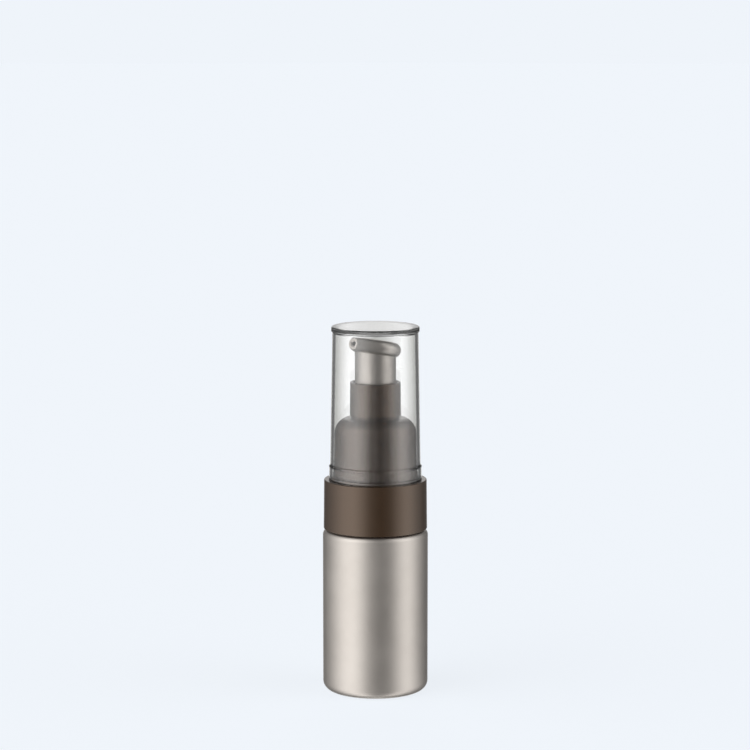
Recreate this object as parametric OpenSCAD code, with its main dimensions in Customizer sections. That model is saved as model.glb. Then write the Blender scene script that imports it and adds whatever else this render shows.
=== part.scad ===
// Lotion pump bottle: a small PET bottle with a screw-on pump, a shoulder ring and a clear overcap.
// Millimetres, +Z up, origin at the centre of the base. Every piece is drawn where it sits when the
// bottle stands closed. Angles in plan are measured from the front (-Y), negative towards -X.

/* [Bottle] */
// Outer diameter of the body
body_d = 31.5; // [31:0.1:36]
// Height of the shoulder that the ring stands over
shoulder_z = 49.2; // [47:0.2:60]
// Rounding of the shoulder's edge
shoulder_round = 1.9; // [1:0.1:2]
// Rounding between the base and the body
base_round = 2.8; // [2:0.1:4]
// How far the step's wall stands in from the body's
step_inset = 2.15; // [2.05:0.05:2.4]
// Height of the step above the shoulder
step_h = 6.4; // [5.8:0.1:7]
// Rounding of the step's top edge
step_round = 2.6; // [1.5:0.1:3.2]
// Wall thickness of the body
wall = 1.0; // [0.8:0.05:1.3]
// Thickness of the floor
floor_t = 1.2; // [1:0.1:1.6]
// Height of the hollow under the base
push_up = 1.0; // [0.6:0.1:1.4]
// Width of the standing ring under the base
foot_w = 2.2; // [1.5:0.1:4]

/* [Neck] */
// Outer diameter of the neck at the root of its thread
neck_d = 17.8; // [17.4:0.1:18]
// Outer diameter of the thread, which the closure's bore clears
thread_d = 19.75; // [19.5:0.05:19.9]
// Diameter of the mouth
mouth_d = 13.6; // [12.6:0.1:14.2]
// Height of the rim above the step
neck_h = 24.4; // [24:0.1:26]
// Height of the sealing lip
lip_h = 1.3; // [0.8:0.1:2]
// How far the lip stands in from the neck
lip_inset = 0.25; // [0.1:0.05:0.4]
// Diameter of the neck under the support flange
root_d = 17.6; // [17:0.1:18]
// Diameter of the support flange
flange_d = 25; // [23.5:0.1:26]
// Thickness of the support flange
flange_t = 1.5; // [1.2:0.1:1.8]
// Gap between the step and the support flange
flange_gap = 2.9; // [2.4:0.1:3.2]
// Diameter of the bead above the flange
bead_d = 21.1; // [20.6:0.1:21.3]
// Height of the bead
bead_h = 2.05; // [1.4:0.05:2.2]
// Gap between the flange and the bead
bead_gap = 2.1; // [1.6:0.1:2.4]
// Diameter of the band above the bead
band_d = 20; // [19.6:0.1:20.2]
// Height of the band
band_h = 1.75; // [1.4:0.05:2]
// Diameter over the lugs that key the ring
lug_d = 22.6; // [21.8:0.1:22.8]
// Height of the broad lug above the flange
lug_h = 3.3; // [2.6:0.1:3.6]
// Width of the broad lug
lug_wide = 2.9; // [2:0.1:3.4]
// Width of the narrow lug
lug_narrow = 1.35; // [1:0.05:1.8]
// Plan angle of the broad lug
lug_wide_angle = -28; // [-32:1:-20]
// Plan angle of the narrow lug and of the slot above it
lug_narrow_angle = -53; // [-60:1:-50]
// Width of the slot through the band and the bead
slot_w = 2.1; // [1.5:0.1:2.6]

/* [Shoulder ring] */
// How far the ring's foot stands in from the body
ring_inset = 0.25; // [0.1:0.05:0.5]
// How much narrower the ring is at its top, on the radius
ring_draft = 0.14; // [0:0.02:0.3]
// Height of the ring
ring_h = 14.9; // [14:0.1:16]
// Rounding of the ring's top edge
ring_round = 0.35; // [0.1:0.05:0.6]
// Thickness of the web that rests on the neck's flange
web_t = 1.7; // [1.2:0.1:1.9]

/* [Closure] */
// Diameter of the dome
dome_d = 24.5; // [24:0.1:25]
// Rounding of the dome's top
dome_round = 4.6; // [3.6:0.1:4.6]
// How much the dome flares out at its foot, on the radius
dome_flare = 0.39; // [0.1:0.01:0.5]
// Height of the flare
flare_h = 11; // [8:0.5:12]
// Diameter of the band under the dome's groove
closure_band_d = 25.7; // [25.5:0.1:26]
// How far the band stands above the ring
closure_band_up = 1.2; // [0.8:0.1:1.6]
// Height of the groove between the band and the dome
groove_h = 0.4; // [0.2:0.05:0.5]
// Thickness of the dome's deck
deck_t = 1.3; // [1:0.1:1.6]
// Diameter of the chimney at its foot
chimney_d = 15.24; // [15:0.02:15.6]
// Height of the chimney above the deck
chimney_h = 10.65; // [9.5:0.05:10.8]
// Wall thickness of the chimney
chimney_wall = 1.17; // [1:0.01:1.3]
// Depth of the groove under the chimney
chimney_groove = 0.5; // [0.3:0.05:0.6]
// Height of the groove under the chimney
chimney_gap = 0.35; // [0.2:0.05:0.5]

/* [Overcap] */
// Height of the cap
cap_h = 46; // [45.6:0.1:50]
// Thickness of the cap's wall
cap_wall = 1.0; // [0.9:0.05:1.1]
// Thickness of the cap's top
cap_top_t = 1.2; // [1:0.1:1.5]
// Outer diameter of the wall above the grip band
cap_d = 27.06; // [27:0.02:27.3]
// How much narrower the wall is at its top, on the radius
cap_draft = 0.69; // [0.4:0.01:0.75]
// Height of the grip band at the foot
cap_band_h = 4.1; // [3.6:0.1:4.6]
// Thickness of the grip band's wall
cap_band_wall = 0.92; // [0.9:0.01:1.1]
// How far the lip round the top stands out from the wall
cap_lip = 0.34; // [0.2:0.02:0.5]

/* [Actuator] */
// Wall thickness of the skirt, which stands in the chimney's bore
skirt_wall = 0.95; // [0.8:0.05:1.1]
// How deep the skirt stands in the chimney
skirt_in = 4.25; // [4:0.05:4.5]
// Height of the skirt from its foot to the head's underside on the axis
skirt_h = 12.25; // [12.25:0.05:13.2]
// Diameter of the head
head_d = 15.3; // [15:0.1:15.8]
// Thickness of the head
head_t = 4.4; // [4.2:0.1:4.6]
// Edge rounding of the head
head_round = 2.15; // [1.6:0.05:2.15]
// Slope of the head towards the outlet, in degrees
head_tilt = 12.5; // [8:0.5:13]
// Plan angle of the outlet
nozzle_angle = -42; // [-180:1:180]
// Distance from the axis to the outlet's face
nozzle_reach = 9.6; // [9:0.1:10]
// Diameter of the outlet's face
nozzle_d = 3.3; // [3:0.1:3.6]
// Diameter of the outlet
outlet_d = 1.3; // [1:0.05:1.5]
// Diameter of the flow channel behind the outlet
channel_d = 2; // [1.6:0.1:2.2]
// How far under the head the stem ends
stem_down = 2; // [1.5:0.1:2.5]

/* [Pump] */
// Travel of the actuator
stroke = 6; // [4:0.1:6]
// Bore of the dosing chamber
chamber_d = 7.3; // [7.1:0.05:7.4]
// Wall thickness of the housing
housing_wall = 1.0; // [0.8:0.05:1.1]
// Diameter of the housing's flange
pump_flange_d = 17.2; // [16.6:0.1:17.4]
// Thickness of the housing's flange
pump_flange_t = 0.8; // [0.6:0.05:1]
// Length of the housing from its flange to its foot
housing_l = 31.5; // [31.2:0.1:32]
// Thickness of the neck gasket
gasket_t = 0.75; // [0.5:0.05:1]
// Depth of the seat in the housing that takes the chaplet
chaplet_depth = 5.55; // [5:0.05:6]
// Diameter of the chaplet's plug
chaplet_d = 8.7; // [8.6:0.02:8.8]
// Height of the chaplet's collar above the deck
collar_up = 3.75; // [2:0.05:3.9]
// Diameter of the chaplet's collar
collar_d = 8.5; // [8.2:0.05:8.6]
// Outer diameter of the stem
stem_d = 4.8; // [4.6:0.05:4.9]
// Bore of the stem
stem_bore = 2.9; // [2.6:0.05:3]
// Length of the piston
piston_l = 4; // [3.4:0.1:4.2]
// Play of the piston along the stem
piston_play = 0.7; // [0.5:0.05:0.9]
// Diameter of the poppet's disc
poppet_d = 6; // [5.8:0.05:6.2]
// Thickness of the poppet's disc
poppet_t = 1.25; // [1:0.05:1.5]
// How far the poppet's rod stands in the stem
poppet_rod = 7; // [5:0.5:9]
// Wire diameter of the spring
wire_d = 0.55; // [0.45:0.05:0.6]
// Number of the spring's coils
coils = 7; // [6:0.5:7]
// Diameter of the inlet ball
ball_d = 3.2; // [3:0.05:3.3]
// Outer diameter of the dip tube
tube_d = 4; // [3.8:0.05:4.1]
// Bore of the dip tube
tube_bore = 2.7; // [2.4:0.1:3]
// Gap between the dip tube and the bottle's floor
tube_gap = 0.8; // [0.5:0.1:3]

/* [Clearances] */
// Radial clearance of sliding and turning fits
run_fit = 0.05; // [0.02:0.01:0.08]
// Radial clearance of pushed-in pieces
seat_fit = 0.02; // [0.01:0.01:0.05]
// Radial clearance between the chimney and the skirt
chimney_fit = 0.32; // [0.2:0.02:0.5]
// Radial clearance between the closure and the shoulder ring
ring_fit = 0.6; // [0.5:0.05:0.8]
// Radial clearance between the ring's web and what it passes
web_fit = 0.15; // [0.1:0.05:0.3]
// Radial clearance between the closure's bore and the neck's thread
thread_fit = 0.15; // [0.1:0.01:0.25]
// Gap between stacked pieces that turn on each other
face_gap = 0.1; // [0.05:0.05:0.2]

/* [Hidden] */
$fn = 96;

// Steps of a rounded edge
arc_n = 8;
// Plan angle, from +X, at which round surfaces start and end
seam = 90;
// Small edge breaks of the mouldings
edge = 0.2;

body_r = body_d / 2;
step_rad = body_r - step_inset;
step_top = shoulder_z + step_h;
neck_r = neck_d / 2;
mouth_r = mouth_d / 2;
rim_z = step_top + neck_h;
lip_r = neck_r - lip_inset;
flange_z = step_top + flange_gap;
flange_top = flange_z + flange_t;
bead_z = flange_top + bead_gap;
bead_top = bead_z + bead_h;
band_top = bead_top + band_h;
lug_r = lug_d / 2;
inner_floor = push_up + floor_t;

ring_r = body_r - ring_inset;
ring_z = shoulder_z + face_gap;
ring_top = ring_z + ring_h;
ring_bore = step_rad + web_fit;
web_top = flange_top + web_t;
web_bore = bead_d / 2 + web_fit;

dome_r = dome_d / 2;
band_r = closure_band_d / 2;
ring_mouth = band_r + ring_fit;
closure_foot = web_top + face_gap;
closure_bore = thread_d / 2 + thread_fit;
relief_bore = lug_r + 2 * web_fit;
relief_top = max(band_top, bead_top) + face_gap;
band_lip_z = ring_top + closure_band_up;
deck_z = rim_z + gasket_t + pump_flange_t;
deck_top = deck_z + deck_t;
chimney_r = chimney_d / 2;
chimney_top = deck_top + chimney_h;
chimney_bore = chimney_r - chimney_wall;
deck_hole = collar_d / 2 + 4 * run_fit;
roof_r = pump_flange_d / 2 + edge;

cap_z = ring_top;
cap_top = cap_z + cap_h;
cap_grip = band_r + run_fit;

skirt_r = chimney_bore - chimney_fit;
skirt_z = chimney_top - skirt_in;
head_z = skirt_z + skirt_h;
skirt_bore = skirt_r - skirt_wall;
socket_z = deck_top + collar_up + stroke + 5 * face_gap;
socket_r = stem_d / 2 + run_fit + skirt_wall;
stem_top = head_z - stem_down;

chamber_r = chamber_d / 2;
housing_r = chamber_r + housing_wall;
housing_foot = deck_z - housing_l;
chaplet_z = deck_z - chaplet_depth;
chaplet_r = chaplet_d / 2;
collar_top = deck_top + collar_up;
guide_bore = stem_d / 2 + run_fit;
stop_bore = guide_bore + 0.15;
stop_r = chamber_r - 0.55;
stop_t = 1;
piston_top = chaplet_z - stop_t - piston_play;
piston_z = piston_top - piston_l;
poppet_top = piston_z - run_fit;
poppet_z = poppet_top - poppet_t;
stem_foot = piston_z + piston_play;

tube_r = tube_d / 2;
tube_z = inner_floor + tube_gap;
socket_depth = 3.5;
inlet_r = 1;
seat_z = housing_foot + socket_depth + 1.2;
ball_r = ball_d / 2;
pocket_r = ball_r + 0.4;
ball_z = seat_z + ball_r * sqrt(2) - inlet_r + seat_fit;
ball_lift = 1;
cage_r = pocket_r + 0.45;
cage_top = ball_z + ball_r + ball_lift + face_gap;
spring_z = seat_z + 2.5;
coil_r = chamber_r - wire_d / 2 - 0.4;

// Points of an arc of radius r about [x, z], from angle a to angle b
function arc(x, z, r, a, b) =
    [for (i = [0:arc_n]) let (t = a + (b - a) * i / arc_n) [x + r * cos(t), z + r * sin(t)]];

// The dome's wall between its foot and its rounding: it flares out as a cube of the distance
function flare(z0) =
    [for (i = [0:arc_n]) let (t = i / arc_n) [dome_r + dome_flare * pow(1 - t, 3), z0 + flare_h * t]];

// Turns an outline of [radius, height] points about the axis, with its seam at the back
module turned(points) {
    rotate([0, 0, seam]) rotate_extrude() polygon(points);
}

// Places a piece at a plan angle, its own +X pointing outwards
module at_angle(a) {
    rotate([0, 0, a - 90]) children();
}

// A block that points outwards from radius r0 to r1
module key_block(r0, r1, w, z0, z1) {
    translate([r0, -w / 2, z0]) cube([r1 - r0, w, z1 - z0]);
}

// The head's own frame: origin where the skirt's axis meets the underside, +X to the outlet
module head_frame() {
    at_angle(nozzle_angle) translate([0, 0, head_z]) rotate([0, -head_tilt, 0]) children();
}

module bottle_outside() {
    foot_in = body_r - base_round - foot_w;
    turned(concat(
        [[0, push_up], [foot_in - 2 * push_up, push_up], [foot_in, 0]],
        arc(body_r - base_round, base_round, base_round, -90, 0),
        arc(body_r - shoulder_round, shoulder_z - shoulder_round, shoulder_round, 0, 90),
        [[step_rad, shoulder_z]],
        arc(step_rad - step_round, step_top - step_round, step_round, 0, 90),
        [[root_d / 2 + edge, step_top], [root_d / 2, step_top + edge], [root_d / 2, flange_z]],
        [[flange_d / 2 - edge, flange_z], [flange_d / 2, flange_z + edge]],
        [[flange_d / 2, flange_top - edge], [flange_d / 2 - edge, flange_top]],
        [[neck_r, flange_top], [neck_r, bead_z]],
        [[bead_d / 2 - 2 * edge, bead_z]],
        [[bead_d / 2, bead_z + 2 * edge], [bead_d / 2, bead_top - 2 * edge]],
        [[band_d / 2 - edge, bead_top], [band_d / 2, bead_top + edge]],
        [[band_d / 2, band_top - edge], [band_d / 2 - edge, band_top], [neck_r, band_top]],
        [[neck_r, rim_z - lip_h - lip_inset], [lip_r, rim_z - lip_h]],
        [[lip_r, rim_z - edge], [lip_r - edge, rim_z], [0, rim_z]]
    ));
}

module bottle_inside() {
    inner_r = body_r - wall;
    inner_round = max(base_round - wall, edge);
    turned(concat(
        [[0, inner_floor]],
        arc(inner_r - inner_round, inner_floor + inner_round, inner_round, -90, 0),
        arc(inner_r - 1, shoulder_z - wall - 1, 1, 0, 90),
        [[step_rad - wall, shoulder_z - wall]],
        arc(step_rad - wall - 1, step_top - wall - 1, 1, 0, 90),
        [[mouth_r + 1, step_top - wall], [mouth_r, step_top - wall + 1]],
        [[mouth_r, rim_z - edge], [mouth_r + edge, rim_z], [mouth_r + edge, rim_z + 1], [0, rim_z + 1]]
    ));
}

module bottle() {
    color([0.74, 0.71, 0.68])
    difference() {
        union() {
            difference() {
                bottle_outside();
                for (half = [0, 180])
                    at_angle(lug_narrow_angle + half)
                        key_block(neck_r, bead_d, slot_w, bead_z - 1, band_top + 1);
            }
            for (half = [0, 180]) {
                at_angle(lug_wide_angle + half)
                    key_block(mouth_r + 1, lug_r, lug_wide, flange_top - edge, flange_top + lug_h);
                at_angle(lug_narrow_angle + half)
                    key_block(mouth_r + 1, lug_r, lug_narrow, flange_top - edge, bead_z);
            }
        }
        bottle_inside();
    }
}

module shoulder_ring() {
    top_r = ring_r - ring_draft;
    key_r = lug_r + 2 * web_fit;
    color([0.27, 0.21, 0.17])
    difference() {
        turned(concat(
            [[ring_bore, ring_z], [ring_r - edge, ring_z], [ring_r, ring_z + edge]],
            arc(top_r - ring_round, ring_top - ring_round, ring_round, 0, 90),
            [[ring_mouth + edge, ring_top], [ring_mouth, ring_top - edge], [ring_mouth, web_top]],
            [[web_bore, web_top], [web_bore, flange_top], [ring_bore, flange_top]]
        ));
        for (half = [0, 180]) {
            at_angle(lug_wide_angle + half)
                key_block(0, key_r, lug_wide + 4 * web_fit, flange_top - 1, web_top + 1);
            at_angle(lug_narrow_angle + half)
                key_block(0, key_r, lug_narrow + 4 * web_fit, flange_top - 1, web_top + 1);
        }
    }
}

module closure() {
    lip_z = band_lip_z + groove_h;
    chimney_z = deck_top + chimney_gap;
    color([0.27, 0.21, 0.17])
    turned(concat(
        [[relief_bore, closure_foot], [band_r - edge, closure_foot], [band_r, closure_foot + edge]],
        [[band_r, band_lip_z - edge], [band_r - edge, band_lip_z]],
        [[dome_r, band_lip_z], [dome_r, lip_z]],
        [[dome_r + dome_flare, lip_z + edge / 2]],
        flare(lip_z + 2 * edge),
        arc(dome_r - dome_round, deck_top - dome_round, dome_round, 0, 90),
        [[chimney_r - chimney_groove, deck_top], [chimney_r - chimney_groove, chimney_z]],
        [[chimney_r, chimney_z + 2 * edge]],
        arc(chimney_r - 0.1 - edge, chimney_top - edge, edge, 0, 90),
        [[chimney_bore + 2 * edge, chimney_top], [chimney_bore, chimney_top - 2.5 * edge]],
        [[chimney_bore, deck_top], [deck_hole, deck_top], [deck_hole, deck_z], [roof_r, deck_z]],
        [[closure_bore, deck_z - 1.4], [closure_bore, relief_top + 1.2]],
        [[relief_bore, relief_top]]
    ));
}

module overcap() {
    wall_r = cap_d / 2;
    top_r = wall_r - cap_draft;
    grip_r = cap_grip + cap_band_wall;
    shelf_z = cap_z + cap_band_h;
    lip_z = cap_top - cap_top_t - edge;
    inner_round = 0.8;
    color([0.85, 0.89, 0.92, 0.4])
    turned(concat(
        [[cap_grip + edge, cap_z], [grip_r + 0.13, cap_z], [grip_r + 0.13, cap_z + 0.85]],
        [[grip_r, cap_z + 1], [grip_r, shelf_z - 0.3], [grip_r + 0.08, shelf_z - 0.15]],
        [[grip_r, shelf_z], [wall_r, shelf_z + 0.35], [top_r, lip_z - 0.6]],
        [[top_r + cap_lip, lip_z]],
        arc(top_r + cap_lip - 0.6, cap_top - 0.6, 0.6, 0, 90),
        [[0, cap_top], [0, cap_top - cap_top_t]],
        arc(top_r - cap_wall - inner_round, cap_top - cap_top_t - inner_round, inner_round, 90, 0),
        [[wall_r - cap_wall, shelf_z + 0.5], [cap_grip, shelf_z - 0.2], [cap_grip, cap_z + edge]]
    ));
}

// The head's disc, its mid-plane centred on the skirt's axis
module head_disc() {
    rim_r = head_d / 2 - head_round;
    turned(concat(
        [[0, 0]],
        arc(rim_r, head_round, head_round, -90, 0),
        arc(rim_r, head_t - head_round, head_round, 0, 90),
        [[0, head_t]]
    ));
}

// The beak that carries the outlet: two bars tangent to the disc's rim, a web and a round tip
module head_beak() {
    mid = head_t / 2;
    bar_r = mid - run_fit;
    rim_r = head_d / 2 - head_round;
    tip = nozzle_reach / cos(head_tilt);
    tip_x = tip - sqrt(bar_r * bar_r - nozzle_d * nozzle_d / 4);
    spread = acos(rim_r / tip_x);
    bar_l = tip_x * sin(spread);
    difference() {
        union() {
            translate([tip_x, 0, mid]) sphere(r = bar_r);
            for (side = [-1, 1])
                translate([tip_x, 0, mid]) rotate([0, 0, side * (90 + spread)]) rotate([0, 90, 0])
                    cylinder(r = bar_r, h = bar_l);
            translate([0, 0, mid - bar_r]) linear_extrude(2 * bar_r) polygon([
                [0, 0], [rim_r * cos(spread), -rim_r * sin(spread)],
                [tip_x, 0], [rim_r * cos(spread), rim_r * sin(spread)]
            ]);
        }
        translate([tip, -head_t, -head_t]) cube(3 * head_t);
    }
}

module head_solid() {
    head_frame() translate([head_t / 2 * tan(head_tilt), 0, 0]) {
        rotate([0, 0, -seam]) head_disc();
        head_beak();
    }
}

// Everything under a plane parallel to the head's underside, z above it
module under_head(z) {
    head_frame() translate([-2 * head_d, -2 * head_d, z - 4 * head_d]) cube(4 * head_d);
}

// The outlet's own frame: +Z runs from the skirt's axis to the outlet
module outlet_frame() {
    head_frame() translate([head_t / 2 * tan(head_tilt), 0, head_t / 2]) rotate([0, 90, 0]) children();
}

module actuator() {
    tip = nozzle_reach / cos(head_tilt);
    roof = head_t - 1.2;
    bore_top = stem_top + face_gap;
    color([0.74, 0.71, 0.68])
    difference() {
        union() {
            difference() {
                union() {
                    translate([0, 0, skirt_z]) rotate([0, 0, seam])
                        cylinder(r = skirt_r, h = skirt_h + head_t / 2);
                    head_solid();
                }
                intersection() {
                    translate([0, 0, skirt_z - 1]) cylinder(r = skirt_bore, h = skirt_h + head_d);
                    under_head(roof);
                }
            }
            intersection() {
                translate([0, 0, socket_z]) cylinder(r = socket_r, h = head_z + head_d - socket_z);
                under_head(roof + 0.6);
            }
            outlet_frame() cylinder(r = channel_d / 2 + 0.9, h = skirt_bore + 0.5);
        }
        translate([0, 0, socket_z - 1]) cylinder(r = guide_bore, h = bore_top + 1 - socket_z);
        translate([0, 0, bore_top - 1]) cylinder(r = stem_bore / 2, h = head_z - bore_top + 1 + head_t / 2);
        outlet_frame() {
            cylinder(r = channel_d / 2, h = tip - 1.6);
            cylinder(r = outlet_d / 2, h = tip + 2);
            translate([0, 0, tip - 0.35]) cylinder(r1 = outlet_d / 2, r2 = outlet_d / 2 + 0.4, h = 0.4);
        }
    }
}

module stem() {
    color([0.93, 0.93, 0.9])
    difference() {
        union() {
            translate([0, 0, stem_foot]) cylinder(r = stem_d / 2, h = stem_top - stem_foot);
            translate([0, 0, chaplet_z - stop_t]) cylinder(r = stop_r, h = stop_t);
        }
        translate([0, 0, stem_foot - 1]) cylinder(r = stem_bore / 2, h = stem_top - stem_foot + 2);
    }
}

module poppet() {
    rod_r = stem_bore / 2 - seat_fit;
    rod_top = stem_foot + poppet_rod;
    pilot_r = coil_r - wire_d;
    flute = 2 / 3 * rod_r;
    color([0.9, 0.9, 0.88])
    difference() {
        union() {
            translate([0, 0, poppet_z - 0.8 * poppet_t]) cylinder(r = pilot_r, h = poppet_t);
            translate([0, 0, poppet_z]) cylinder(r = poppet_d / 2, h = poppet_t);
            translate([0, 0, poppet_z]) cylinder(r = rod_r, h = rod_top - poppet_z);
        }
        for (a = [0, 120, 240])
            rotate([0, 0, a]) key_block(rod_r / 2, rod_r + 1, flute, poppet_top, rod_top + 1);
    }
}

module piston() {
    lip_r = chamber_r - run_fit;
    in_r = stem_d / 2 + run_fit;
    core_r = (lip_r + in_r) / 2 + 0.25;
    notch_r = (lip_r + in_r) / 2;
    color([0.97, 0.97, 0.95])
    turned([
        [in_r, piston_z], [notch_r - 0.15, piston_z], [notch_r, piston_z + 0.6],
        [lip_r - 0.25, piston_z], [lip_r, piston_z], [core_r, piston_z + 1.1],
        [core_r, piston_top - 1.1], [lip_r, piston_top], [lip_r - 0.25, piston_top],
        [notch_r, piston_top - 0.6], [notch_r - 0.15, piston_top], [in_r, piston_top]
    ]);
}

module chaplet() {
    snap_z = chaplet_z + chaplet_depth / 2;
    wide_bore = guide_bore + 0.85;
    color([0.93, 0.93, 0.9])
    turned([
        [stop_bore, chaplet_z], [chaplet_r, chaplet_z],
        [chaplet_r, snap_z - 0.4], [chaplet_r + 0.2, snap_z], [chaplet_r, snap_z + 0.4],
        [chaplet_r, deck_z - edge], [collar_d / 2, deck_z],
        [collar_d / 2, collar_top - edge], [collar_d / 2 - edge, collar_top],
        [guide_bore, collar_top], [guide_bore, collar_top - 2], [wide_bore, collar_top - 2.6],
        [wide_bore, chaplet_z + 1.6], [stop_bore, chaplet_z + 1.2]
    ]);
}

// The spring's wire: closed end coils, an even pitch between them, 8 rings of 6 sides to a coil
module return_spring() {
    sides = 6;
    per_coil = 8;
    rings = floor(coils * per_coil);
    wire_r = wire_d / 2;
    length = poppet_z - spring_z - wire_d;
    closed = wire_d + 0.15;
    pitch = (length - 2 * closed) / (coils - 2);
    function rise(u) = u < 1 ? closed * u
        : u > coils - 1 ? length - closed * (coils - u)
        : closed + pitch * (u - 1);
    points = [for (i = [0:rings]) let (u = i / per_coil, a = 360 * u)
        for (k = [0:sides - 1]) let (t = 360 * k / sides, r = coil_r + wire_r * cos(t))
            [r * cos(a), r * sin(a), spring_z + wire_r + rise(u) + wire_r * sin(t)]];
    last = rings * sides;
    walls = [for (i = [0:rings - 1], k = [0:sides - 1])
        let (n = (k + 1) % sides, a = i * sides, b = a + sides)
        each [[a + k, a + n, b + k], [a + n, b + n, b + k]]];
    ends = [for (k = [1:sides - 2]) each [[0, k + 1, k], [last, last + k, last + k + 1]]];
    color([0.75, 0.76, 0.78])
    polyhedron(points, concat(walls, ends));
}

module housing_body() {
    snap_z = chaplet_z + chaplet_depth / 2;
    bore = chaplet_r + seat_fit;
    top_r = bore + housing_wall;
    tail_r = tube_r + seat_fit + housing_wall - 0.1;
    tail_z = housing_foot + socket_depth + 0.7;
    turned([
        [tube_r + seat_fit, housing_foot], [tail_r, housing_foot], [tail_r, tail_z],
        [housing_r, spring_z - 0.6 * housing_wall], [housing_r, chaplet_z - 2.2 * housing_wall],
        [top_r, chaplet_z - 1.2 * housing_wall],
        [top_r, deck_z - pump_flange_t], [pump_flange_d / 2, deck_z - pump_flange_t],
        [pump_flange_d / 2, deck_z], [bore, deck_z],
        [bore, snap_z + 0.45], [bore + 0.2, snap_z], [bore, snap_z - 0.45],
        [bore, chaplet_z], [chamber_r, chaplet_z], [chamber_r, spring_z], [cage_r, spring_z],
        [cage_r, cage_top], [pocket_r, cage_top], [pocket_r, seat_z + pocket_r - inlet_r],
        [inlet_r, seat_z], [inlet_r, housing_foot + socket_depth],
        [tube_r + seat_fit, housing_foot + socket_depth]
    ]);
}

// Three hooks on the cage's top that keep the ball in
module cage_hooks() {
    difference() {
        translate([0, 0, cage_top - edge]) cylinder(r = cage_r - run_fit, h = 4 * edge);
        translate([0, 0, cage_top - 1]) cylinder(r = ball_r * 0.75, h = 3);
        for (a = [0, 120, 240])
            rotate([0, 0, a]) key_block(0, cage_r + 1, ball_r, cage_top - 1, cage_top + 2);
    }
}

module housing() {
    color([0.93, 0.93, 0.9])
    union() {
        housing_body();
        cage_hooks();
    }
}

module inlet_ball() {
    color([0.8, 0.82, 0.84])
    translate([0, 0, ball_z]) sphere(r = ball_r);
}

module neck_gasket() {
    color([0.95, 0.95, 0.93])
    difference() {
        translate([0, 0, rim_z]) cylinder(r = pump_flange_d / 2, h = gasket_t);
        translate([0, 0, rim_z - 1])
            cylinder(r = chaplet_r + seat_fit + housing_wall + run_fit, h = gasket_t + 2);
    }
}

module dip_tube() {
    top = housing_foot + socket_depth;
    color([0.85, 0.85, 0.86])
    difference() {
        translate([0, 0, tube_z]) cylinder(r = tube_r, h = top - tube_z);
        translate([0, 0, tube_z - 1]) cylinder(r = tube_bore / 2, h = top - tube_z + 2);
        for (side = [0, 180])
            rotate([0, 0, side]) translate([0, 0, tube_z]) rotate([0, 45, 0])
                translate([-2 * tube_d, -tube_d, -tube_d]) cube([2 * tube_d, 2 * tube_d, tube_d]);
    }
}

bottle();
shoulder_ring();
closure();
overcap();
actuator();
stem();
poppet();
piston();
chaplet();
return_spring();
housing();
inlet_ball();
neck_gasket();
dip_tube();
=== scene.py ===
"""Looks of a small lotion pump bottle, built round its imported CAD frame.

Metres throughout, +Z up, the bottle's axis on the Z axis and the front of the photograph at -Y. Plan angles are
measured from the front, negative towards -X.
"""

import logging
import math

from dataclasses import dataclass, field
from enum import Enum
from typing import Optional

import bmesh
import bpy
import numpy as np
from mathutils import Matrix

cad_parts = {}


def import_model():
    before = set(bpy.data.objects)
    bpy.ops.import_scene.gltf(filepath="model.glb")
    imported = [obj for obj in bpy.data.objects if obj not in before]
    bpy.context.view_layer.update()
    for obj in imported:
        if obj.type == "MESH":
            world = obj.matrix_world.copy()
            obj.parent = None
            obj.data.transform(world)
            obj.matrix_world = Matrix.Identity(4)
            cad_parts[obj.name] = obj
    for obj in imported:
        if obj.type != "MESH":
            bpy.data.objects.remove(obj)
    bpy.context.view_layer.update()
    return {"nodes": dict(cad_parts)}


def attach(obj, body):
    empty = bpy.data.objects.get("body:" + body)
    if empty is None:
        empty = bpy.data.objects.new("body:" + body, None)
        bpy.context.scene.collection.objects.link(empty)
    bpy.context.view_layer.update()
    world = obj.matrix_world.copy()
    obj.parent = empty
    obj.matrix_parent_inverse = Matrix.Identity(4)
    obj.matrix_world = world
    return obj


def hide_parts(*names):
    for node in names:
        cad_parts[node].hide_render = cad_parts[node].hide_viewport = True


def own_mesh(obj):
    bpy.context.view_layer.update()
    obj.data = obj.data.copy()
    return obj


LOG = logging.getLogger("bottle")
MM = 0.001
UM = 1e-6
WELD = 1e-7  # points of a grid that lie closer than this are one point
SLIVER = 1e-8  # edges shorter than this are dissolved
NOISE_LOW, NOISE_HIGH = 0.3, 0.7  # a noise seldom goes past these

Tree = bpy.types.NodeTree
Node = bpy.types.Node
Object = bpy.types.Object
Material = bpy.types.Material


class Body(Enum):
    """The CAD bodies that new pieces ride on."""

    BOTTLE = "bottle"
    PUMP = "pump"
    CLOSURE = "closure"


# ---------------------------------------------------------------- node helpers


def linear(hex_colour: str) -> tuple:
    """Turns an sRGB hex value into the linear RGBA that a socket takes.

    Args:
        hex_colour: six hex digits, with or without a leading #.

    Returns:
        Four floats, the last one 1.
    """
    digits = hex_colour.lstrip("#")
    srgb = np.array([int(digits[i : i + 2], 16) for i in (0, 2, 4)]) / 255
    rgb = np.where(srgb <= 0.04045, srgb / 12.92, ((srgb + 0.055) / 1.055) ** 2.4)
    return (*(float(c) for c in rgb), 1.0)


def add(tree: Tree, kind: str, settings: Optional[dict] = None, links: Optional[dict] = None) -> Node:
    """Adds a node with its settings and links.

    Args:
        tree: the node tree that gets the node.
        kind: the node's type, without the "ShaderNode" in front.
        settings: values by attribute name, or by input name or number.
        links: output sockets by the input name or number that each one feeds.

    Returns:
        The new node.
    """
    node = tree.nodes.new("ShaderNode" + kind)
    for key, value in (settings or {}).items():
        if isinstance(key, str) and hasattr(node, key):
            setattr(node, key, value)
        else:
            node.inputs[key].default_value = value
    for key, socket in (links or {}).items():
        tree.links.new(socket, node.inputs[key])
    return node


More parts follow.
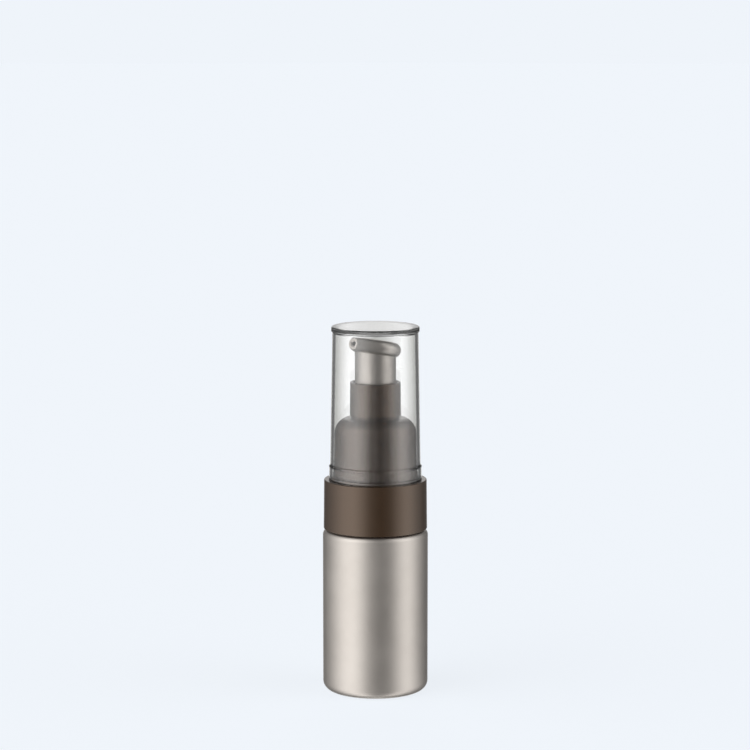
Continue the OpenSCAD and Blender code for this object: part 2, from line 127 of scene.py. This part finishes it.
def ramp(tree: Tree, factor: bpy.types.NodeSocket, stops: list) -> Node:
    """Adds a colour ramp with the given stops.

    Args:
        tree: the node tree that gets the ramp.
        factor: the socket that drives it.
        stops: pairs of a place from 0 to 1 and a linear RGBA colour.

    Returns:
        The ramp's node.
    """
    node = add(tree, "ValToRGB", links={"Fac": factor})
    band = node.color_ramp.elements
    while len(band) < len(stops):
        band.new(0.5)  # moved to its place below
    for element, (place, colour) in zip(band, stops):
        element.position = place
        element.color = colour
    return node


# ---------------------------------------------------------------- finishes


@dataclass(frozen=True)
class Finish:
    """A moulded plastic or metal surface: two close colours, a gloss that varies a little, and a fine relief.

    Attributes:
        name: the real material and how its surface was made.
        light: sRGB hex of the lighter of the two colours.
        dark: sRGB hex of the darker one.
        cloud_mm: size of the soft clouds in which the colours change.
        roughness: mean roughness.
        spread: how far the roughness swings about its mean.
        relief_mm: spacing of the relief's bumps.
        relief_um: height of the relief in micrometres.
        metallic: share of metal in the surface.
        ior: index of refraction, or None for a metal, which keeps the default.
        gloss: strength of the plastic's own reflection, 0.5 for what its index gives.
        gloss_tint: sRGB hex that tints that reflection.
        transmission: share of light that passes into the piece.
        subsurface: weight of the light that scatters under the surface.
        scatter_mm: how far that light scatters.
        absorbs: what the body takes from light that passes through it, per metre.
        passes: sRGB hex of the tint that is left by what the body takes.
    """

    name: str
    light: str
    dark: str
    cloud_mm: float
    roughness: float
    spread: float
    relief_mm: float
    relief_um: float
    metallic: float = 0.0
    ior: Optional[float] = None
    gloss: float = 0.5
    gloss_tint: str = "#FFFFFF"
    transmission: float = 0.0
    subsurface: float = 0.0
    scatter_mm: float = 1.2
    absorbs: float = 0.0
    passes: str = "#A6A6A4"

    def material(self) -> Material:
        """Builds the finish's node material.

        Returns:
            The material, named for the finish.
        """
        made = bpy.data.materials.new(self.name)
        made.use_nodes = True
        tree = made.node_tree
        tree.nodes.clear()
        place = add(tree, "TexCoord").outputs["Object"]
        cloud = add(
            tree,
            "TexNoise",
            {"Scale": 1 / (self.cloud_mm * MM), "Detail": 3.0, "Roughness": 0.55},
            {"Vector": place},
        )
        shades = [(NOISE_LOW, linear(self.dark)), (NOISE_HIGH, linear(self.light))]
        tint = ramp(tree, cloud.outputs["Fac"], shades)
        grain = add(
            tree,
            "TexNoise",
            {"Scale": 1 / (self.relief_mm * MM), "Detail": 2.0, "Roughness": 0.5},
            {"Vector": place},
        )
        gloss = add(
            tree,
            "MapRange",
            {
                "From Min": NOISE_LOW,
                "From Max": NOISE_HIGH,
                "To Min": self.roughness - self.spread,
                "To Max": self.roughness + self.spread,
            },
            {"Value": cloud.outputs["Fac"]},
        )
        relief = add(
            tree,
            "Bump",
            {"Strength": 1.0, "Distance": self.relief_um * UM},
            {"Height": grain.outputs["Fac"]},
        )
        index = {} if self.ior is None else {"IOR": self.ior}
        surface = add(
            tree,
            "BsdfPrincipled",
            {
                **index,
                "Metallic": self.metallic,
                "Specular IOR Level": self.gloss,
                "Specular Tint": linear(self.gloss_tint),
                "Transmission Weight": self.transmission,
                "Subsurface Weight": self.subsurface,
                "Subsurface Scale": self.scatter_mm * MM,
            },
            {
                "Base Color": tint.outputs["Color"],
                "Roughness": gloss.outputs["Result"],
                "Normal": relief.outputs["Normal"],
            },
        )
        out = add(tree, "OutputMaterial", links={"Surface": surface.outputs["BSDF"]})
        if self.absorbs:
            body = add(tree, "VolumeAbsorption", {"Color": linear(self.passes), "Density": self.absorbs})
            tree.links.new(body.outputs[0], out.inputs["Volume"])
        return made


# Silver lacquer sprayed on plastic: fine aluminium flakes under a satin clear coat. It gives broad soft highlights.
SILVER_LACQUER = Finish(
    "silver_lacquer_sprayed_on_PET",
    light="#B1ABA5",
    dark="#AAA49E",
    cloud_mm=9.0,
    roughness=0.33,
    spread=0.02,
    relief_mm=0.5,
    relief_um=0.6,
    metallic=0.9,
)
# The bottle's inside: bare PET over the lacquer's grey back, its colour darkened to painted shade for the dim inside.
BARE_PET_PAINTED_SHADE = Finish(
    "bare_PET_blown",
    light="#34352F",
    dark="#2E2F2A",
    cloud_mm=9.0,
    roughness=0.3,
    spread=0.02,
    relief_mm=0.5,
    relief_um=0.6,
    ior=1.57,
)
# Dark brown polypropylene from a lightly blasted mould: satin, with faint clouds of gloss.
BROWN_POLYPROPYLENE = Finish(
    "brown_polypropylene_moulded",
    light="#271501",
    dark="#211100",
    cloud_mm=7.0,
    roughness=0.25,
    spread=0.02,
    relief_mm=0.35,
    relief_um=0.5,
    ior=1.49,
    gloss=1.0,
    gloss_tint="#FFE7D4",
)
# Clear PETG from a polished mould: glass-like, its faint flow waves bend what shows through it.
CLEAR_PETG = Finish(
    "clear_PETG_moulded",
    light="#FFFFFF",
    dark="#FBFCFC",
    cloud_mm=14.0,
    roughness=0.03,
    spread=0.01,
    relief_mm=6.0,
    relief_um=1.0,
    ior=1.57,
    transmission=1.0,
    absorbs=80.0,
)
# Natural polypropylene of the pump's inner mouldings: milky, half matt.
NATURAL_POLYPROPYLENE = Finish(
    "natural_polypropylene_moulded",
    light="#EEEDE6",
    dark="#E2E0D6",
    cloud_mm=3.0,
    roughness=0.42,
    spread=0.05,
    relief_mm=0.3,
    relief_um=2.0,
    ior=1.49,
    subsurface=0.3,
)
# Soft polyethylene of the piston and the gasket: waxy, brighter than the mouldings round it.
SOFT_POLYETHYLENE = Finish(
    "soft_polyethylene_moulded",
    light="#F6F5F0",
    dark="#ECEAE2",
    cloud_mm=2.0,
    roughness=0.5,
    spread=0.05,
    relief_mm=0.25,
    relief_um=2.0,
    ior=1.49,
    subsurface=0.4,
)
# Extruded polyethylene tube: translucent, greyish where one looks through both walls.
TUBE_POLYETHYLENE = Finish(
    "tube_polyethylene_extruded",
    light="#CFC6CE",
    dark="#C2B8C1",
    cloud_mm=4.0,
    roughness=0.3,
    spread=0.04,
    relief_mm=0.6,
    relief_um=2.0,
    ior=1.49,
    transmission=0.35,
)
# Cold-drawn stainless wire: bright, with faint die lines.
SPRING_WIRE = Finish(
    "stainless_wire_drawn",
    light="#C9CACC",
    dark="#B7B8BB",
    cloud_mm=0.8,
    roughness=0.24,
    spread=0.05,
    relief_mm=0.12,
    relief_um=1.0,
    metallic=1.0,
)
# Polished stainless ball: a mirror with a trace of lapping haze.
POLISHED_BALL = Finish(
    "stainless_ball_polished",
    light="#D4D5D7",
    dark="#CBCCCE",
    cloud_mm=1.0,
    roughness=0.1,
    spread=0.02,
    relief_mm=0.2,
    relief_um=0.3,
    metallic=1.0,
)


def dress(piece: Object, finish: Material) -> None:
    """Gives a piece its finish in every material slot, and smooth shading left as it came.

    Args:
        piece: the piece, a CAD node or a new one.
        finish: the material to put on it.
    """
    if not piece.data.materials:
        piece.data.materials.append(finish)
    for i in range(len(piece.data.materials)):
        piece.data.materials[i] = finish


def dress_nodes(nodes: dict, finish: Material, names: tuple) -> None:
    """Gives CAD nodes their finish.

    Args:
        nodes: the frame's nodes by name.
        finish: the material to put on them.
        names: which nodes get it.
    """
    for name in names:
        dress(nodes[name], finish)
        LOG.info("%s: %s", name, finish.name)


# ---------------------------------------------------------------- surfaces


def mesh_of_grid(name: str, points: np.ndarray, close_u: bool, close_v: bool) -> Object:
    """Makes a mesh of a grid of points, whose faces join each point to the next along both parameters.

    Args:
        name: the new object's name.
        points: an array of shape (rows, columns, 3), in metres.
        close_u: whether the last row joins the first.
        close_v: whether the last column joins the first.

    Returns:
        The object, linked to the scene, with merged doubles, outward normals and smooth faces.
    """
    rows, columns = points.shape[:2]
    i, j = np.meshgrid(
        np.arange(rows if close_u else rows - 1), np.arange(columns if close_v else columns - 1), indexing="ij"
    )
    down, right = (i + 1) % rows, (j + 1) % columns
    faces = np.stack([i * columns + j, down * columns + j, down * columns + right, i * columns + right], -1)
    mesh = bpy.data.meshes.new(name)
    mesh.from_pydata(points.reshape(-1, 3).tolist(), [], faces.reshape(-1, 4).tolist())
    work = bmesh.new()
    work.from_mesh(mesh)
    bmesh.ops.remove_doubles(work, verts=work.verts, dist=WELD)
    bmesh.ops.dissolve_degenerate(work, edges=work.edges, dist=SLIVER)
    bmesh.ops.recalc_face_normals(work, faces=work.faces)
    work.to_mesh(mesh)
    work.free()
    mesh.polygons.foreach_set("use_smooth", np.ones(len(mesh.polygons), bool))
    made = bpy.data.objects.new(name, mesh)
    bpy.context.scene.collection.objects.link(made)
    return made


STEPS_A_TURN = 144
SLIM = 0.35  # share of its height that a ridge's section keeps at the ridge's ends


def helix_ridge(
    name: str, top: tuple, turns: float, pitch: float, section: np.ndarray, root: float, fade: float
) -> Object:
    """Makes a thread's ridge: a section carried along a right-handed helix, fading into its wall at both ends.

    At plan angle a, the section's point (r, h) lies at (r sin a, -r cos a, z + h), with z falling by one pitch a turn
    as a falls. Within the fade, r is drawn towards the root and h shrinks.

    Args:
        name: the new object's name.
        top: the plan angle in degrees and the height in metres of the ridge's upper end.
        turns: how many turns the ridge makes.
        pitch: the helix's rise per turn.
        section: an array of (radius, height) points, from the root's lower to its upper edge.
        root: the radius that the ridge fades to.
        fade: the length of each fade in degrees.

    Returns:
        The ridge's object.
    """
    steps = int(turns * STEPS_A_TURN) + 1
    along = np.linspace(0, 360 * turns, steps)
    ease = np.clip(np.minimum(along, along[-1] - along) / fade, 0, 1)
    ease = (ease * ease * (3 - 2 * ease))[:, None]
    angle = np.radians(top[0] - along)[:, None]
    radius = root + (section[None, :, 0] - root) * ease
    height = top[1] - pitch * along[:, None] / 360 + section[None, :, 1] * (SLIM + (1 - SLIM) * ease)
    points = np.stack([radius * np.sin(angle), -radius * np.cos(angle), height], -1)
    return mesh_of_grid(name, points, close_u=False, close_v=True)


FLANK = 0.45  # share of half a section's points that its flank takes
SECTION_POINTS = 17


def thread_section(root: float, crest: float, base: float, land: float) -> np.ndarray:
    """Works out a thread's section: a trapezium between root and crest, its crest's corners rounded.

    Along t from -1 to 1 the flanks take the outer 45 % on each side. On a flank the radius rises from root to crest as
    s (2 - s) of its share s, while the half width shrinks evenly from base / 2 to land / 2.

    Args:
        root: radius at the foot of the flanks.
        crest: radius of the crest.
        base: width at the root.
        land: width of the crest.

    Returns:
        An array of (radius, height) points about the ridge's middle.
    """
    t = np.linspace(-1, 1, SECTION_POINTS)
    rise = np.clip((1 - np.abs(t)) / FLANK, 0, 1)
    half = land / 2 * np.minimum(np.abs(t) / (1 - FLANK), 1) + (base - land) / 2 * (1 - rise)
    return np.stack([root + (crest - root) * rise * (2 - rise), np.sign(t) * half], -1)


# ---------------------------------------------------------------- sub-assemblies


@dataclass
class Thread:
    """A moulded thread that the CAD leaves plain: the neck's outer one, or the closure's, half a pitch below it.

    Attributes:
        name: name of the piece.
        rides_on: the body that carries it.
        slot: name of a material slot; not used.
        root: radius of the wall that it stands on.
        crest: radius of its crest.
        start_angle: plan angle of its upper end, in degrees.
        start_z: height of its upper end.
        turns: how many turns it makes.
        fade: length of the fade at each end, in degrees.
        pitch: rise per turn.
        base: width at the root.
        land: width of the crest.
    """

    name: str
    rides_on: Body
    slot: str
    root: float
    crest: float
    start_angle: float
    start_z: float
    turns: float
    fade: float
    pitch: float = 3.175 * MM
    base: float = 1.7 * MM
    land: float = 0.75 * MM

    def build(self, finish: Material) -> None:
        """Builds the thread and puts it on its body.

        Args:
            finish: the body's own material.
        """
        section = thread_section(self.root, self.crest, self.base, self.land)
        start = (self.start_angle, self.start_z)
        ridge = helix_ridge(self.name, start, self.turns, self.pitch, section, self.root, self.fade)
        dress(ridge, finish)
        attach(ridge, self.rides_on.value)
        LOG.info("%s: %d faces", self.name, len(ridge.data.polygons))


def threads() -> tuple:
    """Gives the pair of threads, set half a pitch apart.

    Returns:
        The neck's thread and the closure's.
    """
    neck = Thread(
        "neck_thread",
        Body.BOTTLE,
        "silver_pet",
        root=8.86 * MM,
        crest=9.87 * MM,
        start_angle=-24.0,
        start_z=76.3 * MM,
        turns=1.5,
        fade=18.0,
    )
    start = 57.0
    inner = Thread(
        "closure_thread",
        Body.CLOSURE,
        "brown_pp",
        root=10.06 * MM,
        crest=9.2 * MM,
        start_angle=start,
        start_z=neck.start_z + neck.pitch * ((start - neck.start_angle) / 360 - 0.5),
        turns=1.6,
        fade=40.0,
    )
    return neck, inner


@dataclass
class Spring:
    """The return spring under the poppet.

    Attributes:
        foot: height of its lower end.
        top: height of its upper end at rest.
        mean: radius of the wire's centre line.
        wire: radius of the wire.
        coils: how many coils it has, the closed one at each end included.
        closed: rise of each closed coil.
        stroke: how far the stem shortens it.
        coil_steps: steps along each coil.
        sides: points round the wire.
    """

    foot: float = 57.25 * MM
    top: float = 69.0 * MM
    mean: float = 2.975 * MM
    wire: float = 0.275 * MM
    coils: float = 7.0
    closed: float = 0.7 * MM
    # stroke: how far the stem would shorten it; not used.
    stroke: float = 6.0 * MM
    coil_steps: int = 48
    sides: int = 14

    def build(self, finish: Material) -> None:
        """Builds the wire in place of the CAD spring and puts it on the pump.

        The centre line is a circle of the mean radius whose height rises slowly in the end coils and evenly between
        them. The wire's round section is set out from it along the radius and upwards.

        Args:
            finish: the wire's material.
        """
        u = np.linspace(0, self.coils, int(self.coils * self.coil_steps) + 1)
        length = self.top - self.foot - 2 * self.wire
        middle = self.closed + (length - 2 * self.closed) * (u - 1) / (self.coils - 2)
        last = length - self.closed * (self.coils - u)
        rise = np.where(u < 1, self.closed * u, np.where(u > self.coils - 1, last, middle))
        a = 2 * np.pi * u[:, None]
        t = np.linspace(0, 2 * np.pi, self.sides, endpoint=False)[None, :]
        radius = self.mean + self.wire * np.cos(t)
        height = self.foot + self.wire + rise[:, None] + self.wire * np.sin(t)
        points = np.stack([radius * np.cos(a), radius * np.sin(a), height + 0 * a], -1)
        wire = mesh_of_grid("spring_wire", points, close_u=False, close_v=True)
        caps = bmesh.new()
        caps.from_mesh(wire.data)
        bmesh.ops.holes_fill(caps, edges=[e for e in caps.edges if e.is_boundary])
        caps.to_mesh(wire.data)
        caps.free()
        dress(wire, finish)
        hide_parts("return_spring")
        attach(wire, Body.PUMP.value)
        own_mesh(wire)
        LOG.info("spring wire: %d faces", len(wire.data.polygons))


@dataclass
class Bottle:
    """The bottle, lacquered outside and bare inside, with painted shade inside and the thread on its neck.

    Attributes:
        silver: the lacquer's material, for the thread.
        thread: the neck's thread.
        reach: pairs of the inside's radius and the height up to which it holds, from the mouth down.
        floor: height of the floor's middle.
    """

    silver: Material
    thread: Thread
    reach: tuple = ((7.05 * MM, 80.0 * MM), (12.7 * MM, 54.7 * MM), (15.0 * MM, 48.6 * MM))
    floor: float = 1.6 * MM

    def line(self, lacquer: Material) -> None:
        """Lets the lacquer end at the outside, so that the inside shows the bare plastic, darkened with painted shade.

        A point is inside when its radius is less than the reach at its height, and it is above the floor's middle. The
        bare plastic comes with its lighter colour, near black as painted shade, and mean roughness.

        Args:
            lacquer: the outside's material, which is changed.
        """
        tree = lacquer.node_tree
        out = next(n for n in tree.nodes if n.type == "OUTPUT_MATERIAL")
        outside = out.inputs["Surface"].links[0].from_socket
        place = add(tree, "SeparateXYZ", links={0: add(tree, "TexCoord").outputs["Object"]})
        flat = add(tree, "CombineXYZ", links={"X": place.outputs["X"], "Y": place.outputs["Y"]})
        radius = add(tree, "VectorMath", {"operation": "LENGTH"}, {0: flat.outputs[0]})
        limit = add(tree, "Math", {"operation": "ADD", 0: self.reach[0][0], 1: 0.0})
        for (wide, top), (narrow, _) in zip(self.reach[1:], self.reach):
            below = add(tree, "Math", {"operation": "LESS_THAN", 1: top}, {0: place.outputs["Z"]})
            wider = {"operation": "MULTIPLY_ADD", 1: wide - narrow}
            limit = add(tree, "Math", wider, {0: below.outputs[0], 2: limit.outputs[0]})
        within = add(tree, "Math", {"operation": "LESS_THAN"}, {0: radius.outputs["Value"], 1: limit.outputs[0]})
        above = add(tree, "Math", {"operation": "GREATER_THAN", 1: self.floor}, {0: place.outputs["Z"]})
        inside = add(tree, "Math", {"operation": "MULTIPLY"}, {0: within.outputs[0], 1: above.outputs[0]})
        # The inside's near-black colour is painted shade for the dim inside of the bottle, over the bare PET's own
        # grey.
        bare = {"Base Color": linear(BARE_PET_PAINTED_SHADE.light), "Roughness": BARE_PET_PAINTED_SHADE.roughness, "IOR": BARE_PET_PAINTED_SHADE.ior}
        plastic = add(tree, "BsdfPrincipled", bare)
        both = add(tree, "MixShader", links={0: inside.outputs[0], 1: outside, 2: plastic.outputs[0]})
        tree.links.new(both.outputs[0], out.inputs["Surface"])

    def dress(self, nodes: dict) -> None:
        """Dresses the CAD bottle.

        Args:
            nodes: the frame's nodes by name.
        """
        lined = SILVER_LACQUER.material()
        self.line(lined)
        dress_nodes(nodes, lined, ("bottle",))

    def build(self) -> None:
        """Builds the neck's thread."""
        self.thread.build(self.silver)


@dataclass
class Top:
    """What closes the bottle: the brown ring, the brown closure with its thread, and the clear cap.

    Attributes:
        brown: the material of ring and closure.
        thread: the closure's thread.
    """

    brown: Material
    thread: Thread

    def dress(self, nodes: dict) -> None:
        """Dresses the CAD ring, closure and cap.

        Args:
            nodes: the frame's nodes by name.
        """
        dress_nodes(nodes, self.brown, ("shoulder_ring", "closure"))
        dress_nodes(nodes, CLEAR_PETG.material(), ("overcap",))

    def build(self) -> None:
        """Builds the closure's thread."""
        self.thread.build(self.brown)


@dataclass
class Pump:
    """The pump: its silver actuator, inner mouldings, seals, tube, ball and spring.

    Attributes:
        silver: the actuator's material.
        spring: the return spring.
    """

    silver: Material
    spring: Spring = field(default_factory=Spring)

    def dress(self, nodes: dict) -> None:
        """Dresses the pump's CAD nodes.

        Args:
            nodes: the frame's nodes by name.
        """
        dress_nodes(nodes, self.silver, ("actuator",))
        dress_nodes(nodes, TUBE_POLYETHYLENE.material(), ("dip_tube",))
        dress_nodes(nodes, POLISHED_BALL.material(), ("inlet_ball",))
        dress_nodes(nodes, NATURAL_POLYPROPYLENE.material(), ("stem", "poppet", "chaplet", "housing"))
        dress_nodes(nodes, SOFT_POLYETHYLENE.material(), ("piston", "neck_gasket"))

    def build(self) -> None:
        """Builds the return spring."""
        self.spring.build(SPRING_WIRE.material())


@dataclass
class Studio:
    """Floor, light and camera.

    Attributes:
        backdrop: sRGB hex of the floor and the background, as the camera sees them.
        camera_side: how far the camera stands to the right of the bottle's axis, below 0 to its left.
        camera_back: distance of the camera from the bottle's axis.
        camera_up: height of the camera.
        pitch_down: how far it looks down, in degrees.
        focal_px: focal length in pixels of the frame.
        frame_px: width of the frame in pixels.
        sensor: width of the camera's sensor in millimetres.
        clip: the nearest and the farthest distance that the camera sees.
        floor_radii: radii of the floor's rings.
        floor_sides: points round each ring.
        glow: brightness of the floor's own light, which evens it out.
        glow_share: share of that light in the floor's look.
        strength: brightness of the soft boxes.
        heights: pairs of an elevation in degrees and the soft boxes' share of their brightness there.
        levels: pairs of a plan angle in degrees, from the front, and the soft boxes' brightness there.
        card_width: width in degrees of each white card that is seen through clear pieces.
        cards: pairs of a place, from 0 at a card's edge to 1 at its middle, and the sRGB hex it has there.
    """

    backdrop: str = "#EFF4FA"
    camera_side: float = -0.12 * MM
    camera_back: float = 846.2 * MM
    camera_up: float = 214.4 * MM
    pitch_down: float = 8.0
    focal_px: float = 2871.0
    frame_px: float = 750.0
    sensor: float = 36.0
    clip: tuple = (0.05, 50.0)
    floor_radii: tuple = (0.0, 0.05, 0.2, 1.0, 6.0)
    floor_sides: int = 48
    glow: float = 1.065
    glow_share: float = 0.8
    strength: float = 3.0
    card_width: float = 45.0
    cards: tuple = (
        (0.0, "#CFCFCB"),
        (0.05, "#E4E4E2"),
        (0.11, "#FFFFFF"),
        (0.2, "#FDFDFD"),
        (0.36, "#EAEAE8"),
        (0.8, "#DFDFDA"),
    )
    heights: tuple = ((-90, 0.77), (5, 0.77), (25, 1.0), (42, 0.9), (60, 0.4), (75, 0.12), (90, 0.08))
    levels: tuple = (
        (-180, 0.37),
        (-168, 0.37),
        (-160, 0.05),
        (-140, 0.1),
        (-115, 0.26),
        (-95, 0.52),
        (-75, 0.82),
        (-50, 0.95),
        (-32, 0.68),
        (-12, 0.24),
        (12, 0.1),
        (34, 0.19),
        (52, 0.53),
        (70, 0.8),
        (86, 0.69),
        (104, 0.36),
        (130, 0.1),
        (160, 0.05),
        (168, 0.37),
        (180, 0.37),
    )

    def passed(self, tree: Tree, path: Node) -> bpy.types.NodeSocket:
        """Tells the camera's view through clear pieces from the light that a surface gathers.

        Args:
            tree: the node tree that asks.
            path: its light path node.

        Returns:
            A socket that is 1 on what clear pieces pass of a camera ray, and 0 on every other ray.
        """
        bounced = add(
            tree, "Math", {"operation": "ADD"}, {0: path.outputs["Diffuse Depth"], 1: path.outputs["Glossy Depth"]}
        )
        straight = add(tree, "Math", {"operation": "LESS_THAN", 1: 0.5}, {0: bounced.outputs[0]})
        both = add(
            tree, "Math", {"operation": "MULTIPLY"}, {0: path.outputs["Is Transmission Ray"], 1: straight.outputs[0]}
        )
        return both.outputs[0]

    def light(self) -> None:
        """Sets the world: pale to the camera, white cards through clear pieces, tall soft boxes to the rest.

        The studio's brightness is a product of two functions. One, of the plan angle, is dark in front, brightest in
        the soft boxes that stand on both sides of the camera, and dim behind. The other, of the elevation, is highest
        over the horizon and falls towards the ceiling. The cards stand in a ring, brightest beside their grey joins,
        which a clear cylinder spreads into a soft dark line along its middle.
        """
        world = bpy.data.worlds.new("studio")
        bpy.context.scene.world = world
        world.use_nodes = True
        tree = world.node_tree
        tree.nodes.clear()
        way = add(tree, "SeparateXYZ", links={0: add(tree, "TexCoord").outputs["Generated"]})
        front = add(tree, "Math", {"operation": "MULTIPLY", 1: -1.0}, {0: way.outputs["Y"]})
        angle = add(tree, "Math", {"operation": "ARCTAN2"}, {0: way.outputs["X"], 1: front.outputs[0]})
        place = add(tree, "MapRange", {"From Min": -math.pi, "From Max": math.pi}, {"Value": angle.outputs[0]})
        stops = [((a + 180) / 360, (v, v, v, 1.0)) for a, v in self.levels]
        boxes = ramp(tree, place.outputs["Result"], stops)
        rise = add(tree, "MapRange", {"From Min": -1.0, "From Max": 1.0}, {"Value": way.outputs["Z"]})
        tall = [((math.sin(math.radians(e)) + 1) / 2, (v, v, v, 1.0)) for e, v in self.heights]
        height = ramp(tree, rise.outputs["Result"], tall)
        power = add(tree, "Math", {"operation": "MULTIPLY", 1: self.strength}, {0: height.outputs["Color"]})
        studio = add(tree, "Background", links={"Color": boxes.outputs["Color"], "Strength": power.outputs[0]})
        half = math.radians(self.card_width / 2)
        inward = add(tree, "Math", {"operation": "PINGPONG", 1: half}, {0: angle.outputs[0]})
        share = add(tree, "Math", {"operation": "DIVIDE", 1: half}, {0: inward.outputs[0]})
        shades = ramp(tree, share.outputs[0], [(at, linear(shade)) for at, shade in self.cards])
        card = add(tree, "Background", {"Strength": 1.0}, {"Color": shades.outputs["Color"]})
        seen = add(tree, "Background", {"Color": linear(self.backdrop), "Strength": 1.0})
        path = add(tree, "LightPath")
        inner = add(tree, "MixShader", links={0: self.passed(tree, path), 1: studio.outputs[0], 2: card.outputs[0]})
        outer = add(
            tree, "MixShader", links={0: path.outputs["Is Camera Ray"], 1: inner.outputs[0], 2: seen.outputs[0]}
        )
        add(tree, "OutputWorld", links={"Surface": outer.outputs[0]})

    def floor(self) -> None:
        """Lays a wide flat disc that shows the backdrop's colour and a soft shadow.

        The point of ring r at plan angle a lies at (r cos a, r sin a, 0).
        """
        angle = np.linspace(0, 2 * np.pi, self.floor_sides, endpoint=False)
        r, a = np.meshgrid(np.array(self.floor_radii), angle, indexing="ij")
        disc = mesh_of_grid("floor", np.stack([r * np.cos(a), r * np.sin(a), 0 * r], -1), False, True)
        made = bpy.data.materials.new("paper_backdrop")
        made.use_nodes = True
        tree = made.node_tree
        tree.nodes.clear()
        paper = add(tree, "BsdfDiffuse", {"Color": linear(self.backdrop)})
        glow = add(tree, "Emission", {"Color": linear(self.backdrop), "Strength": self.glow})
        sheet = add(tree, "MixShader", {0: self.glow_share}, {1: paper.outputs[0], 2: glow.outputs[0]})
        clear = add(tree, "BsdfTransparent")
        path = add(tree, "LightPath")
        seen = path.outputs["Is Camera Ray"]
        both = add(tree, "MixShader", links={0: seen, 1: clear.outputs[0], 2: sheet.outputs[0]})
        add(tree, "OutputMaterial", links={"Surface": both.outputs[0]})
        dress(disc, made)

    def camera(self) -> None:
        """Sets the camera where the drawing's perspective puts it."""
        data = bpy.data.cameras.new("camera")
        data.sensor_width = self.sensor
        data.lens = self.focal_px / self.frame_px * self.sensor
        data.clip_start, data.clip_end = self.clip
        eye = bpy.data.objects.new("camera", data)
        eye.location = (self.camera_side, -self.camera_back, self.camera_up)
        eye.rotation_euler = (math.radians(90 - self.pitch_down), 0, 0)
        bpy.context.scene.collection.objects.link(eye)
        bpy.context.scene.camera = eye


def main() -> None:
    """Builds the scene in order: frame, studio, the CAD nodes' finishes, new pieces."""
    logging.basicConfig(level=logging.INFO, format="%(name)s: %(message)s")
    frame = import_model()
    bpy.context.scene.view_settings.view_transform = "Standard"
    studio = Studio()
    studio.camera()
    studio.light()
    studio.floor()
    silver = SILVER_LACQUER.material()
    brown = BROWN_POLYPROPYLENE.material()
    neck, inner = threads()
    groups = (Bottle(silver, neck), Top(brown, inner), Pump(silver))
    for group in groups:
        group.dress(frame["nodes"])
    for group in groups:
        group.build()


if __name__ == "__main__":
    main()
